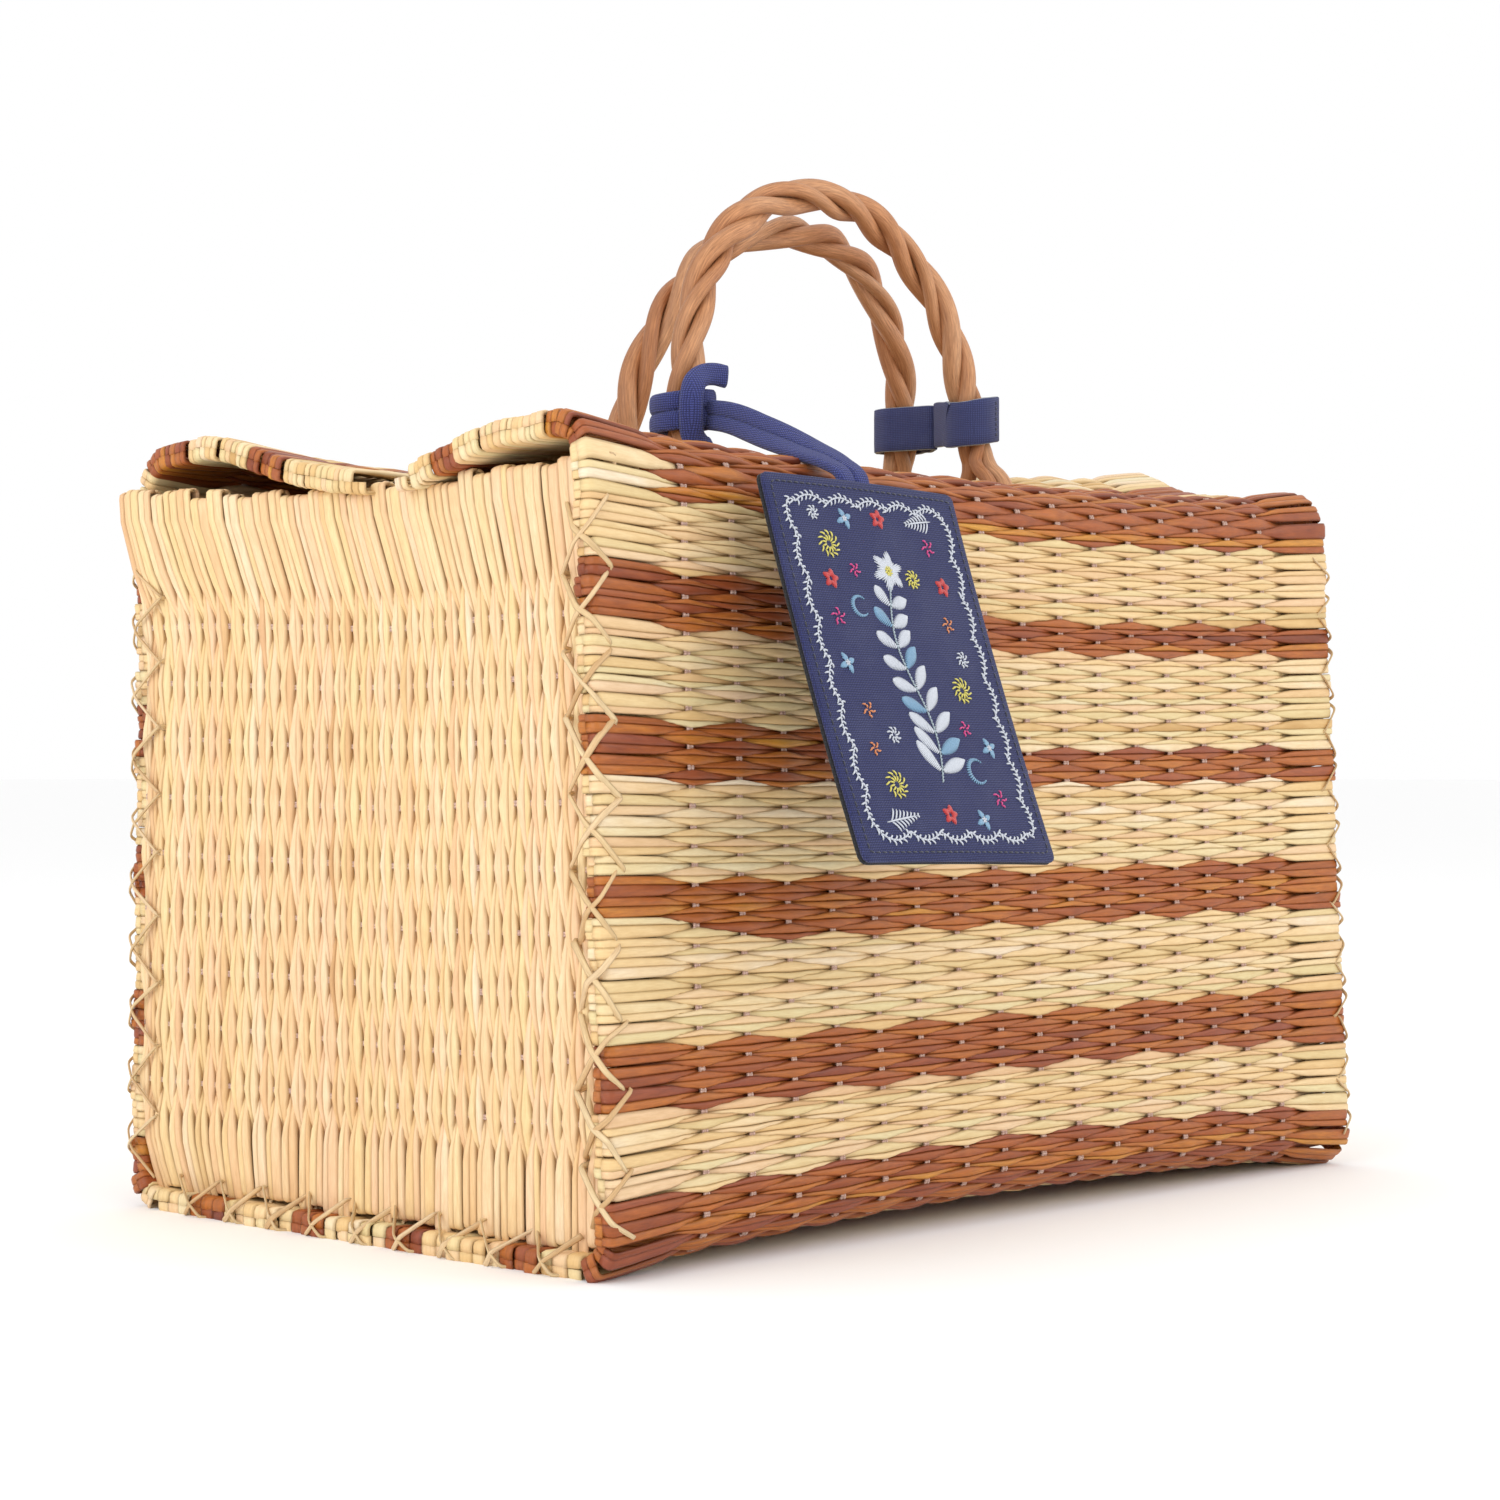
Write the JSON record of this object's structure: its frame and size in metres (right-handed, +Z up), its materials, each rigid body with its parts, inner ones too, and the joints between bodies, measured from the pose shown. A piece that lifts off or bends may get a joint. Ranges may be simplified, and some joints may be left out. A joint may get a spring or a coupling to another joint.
{
  "type": "woven market basket",
  "caption": "Rectangular woven reed basket with two hinged lid flaps, twin twisted handles, laced corners and a hanging canvas tag.",
  "frame": {"origin": "middle of the flat base, on the floor", "axes": "+X along the basket's length, +Y from the front wall to the back wall, +Z up"},
  "size_m": [0.3878, 0.2887, 0.3551],
  "materials": {
    "natural_reed": "satin",
    "brown_reed": "satin",
    "lacing_strip": "satin",
    "willow": "satin",
    "canvas": "matte",
    "tag_backing": "matte"
  },
  "bodies": {
    "basket": {"front_wall_natural": "natural_reed", "front_wall_brown": "brown_reed", "back_wall_natural": "natural_reed", "back_wall_brown": "brown_reed", "bottom_natural": "natural_reed", "bottom_brown": "brown_reed", "left_end_panel": "natural_reed", "left_front_lacing": "lacing_strip", "left_back_lacing": "lacing_strip", "left_bottom_lacing": "lacing_strip", "right_end_panel": "natural_reed", "right_front_lacing": "lacing_strip", "right_back_lacing": "lacing_strip", "right_bottom_lacing": "lacing_strip"},
    "front_lid": {"front_lid_natural": "natural_reed", "front_lid_brown": "brown_reed", "front_handle_rod_1": "willow", "front_handle_rod_2": "willow", "front_handle_rod_3": "willow", "front_band_loop": "canvas", "strap_hitch": "canvas"},
    "back_lid": {"back_lid_natural": "natural_reed", "back_lid_brown": "brown_reed", "back_handle_rod_1": "willow", "back_handle_rod_2": "willow", "back_handle_rod_3": "willow", "back_band_loop": "canvas"},
    "strap": {"tag_strap": "canvas", "tag_strap_end": "canvas"},
    "tag": {"tag_front": "canvas", "tag_back": "tag_backing"}
  },
  "joints": [
    {"name": "front_lid_hinge", "type": "hinge", "parent": "basket", "child": "front_lid", "pos_m": [0, -0.10032, 0.24324], "axis": [1, 0, 0], "range_deg": [0, 110]},
    {"name": "back_lid_hinge", "type": "hinge", "parent": "basket", "child": "back_lid", "pos_m": [0, 0.108, 0.2477], "axis": [-1, 0, 0], "range_deg": [0, 110]},
    {"name": "strap_follow", "type": "hinge", "parent": "front_lid", "child": "strap", "pos_m": [-0.07767, -0.05344, 0.26524], "axis": [1, 0, 0], "range_deg": [-90, 2]},
    {"name": "tag_swing", "type": "hinge", "parent": "strap", "child": "tag", "pos_m": [-0.08867, -0.12011, 0.23764], "axis": [-1, 0, 0], "range_deg": [-18, 80]}
  ],
  "couplings": [
    {"joint": "strap_follow", "follows": "front_lid_hinge", "ratio": -0.8}
  ]
}
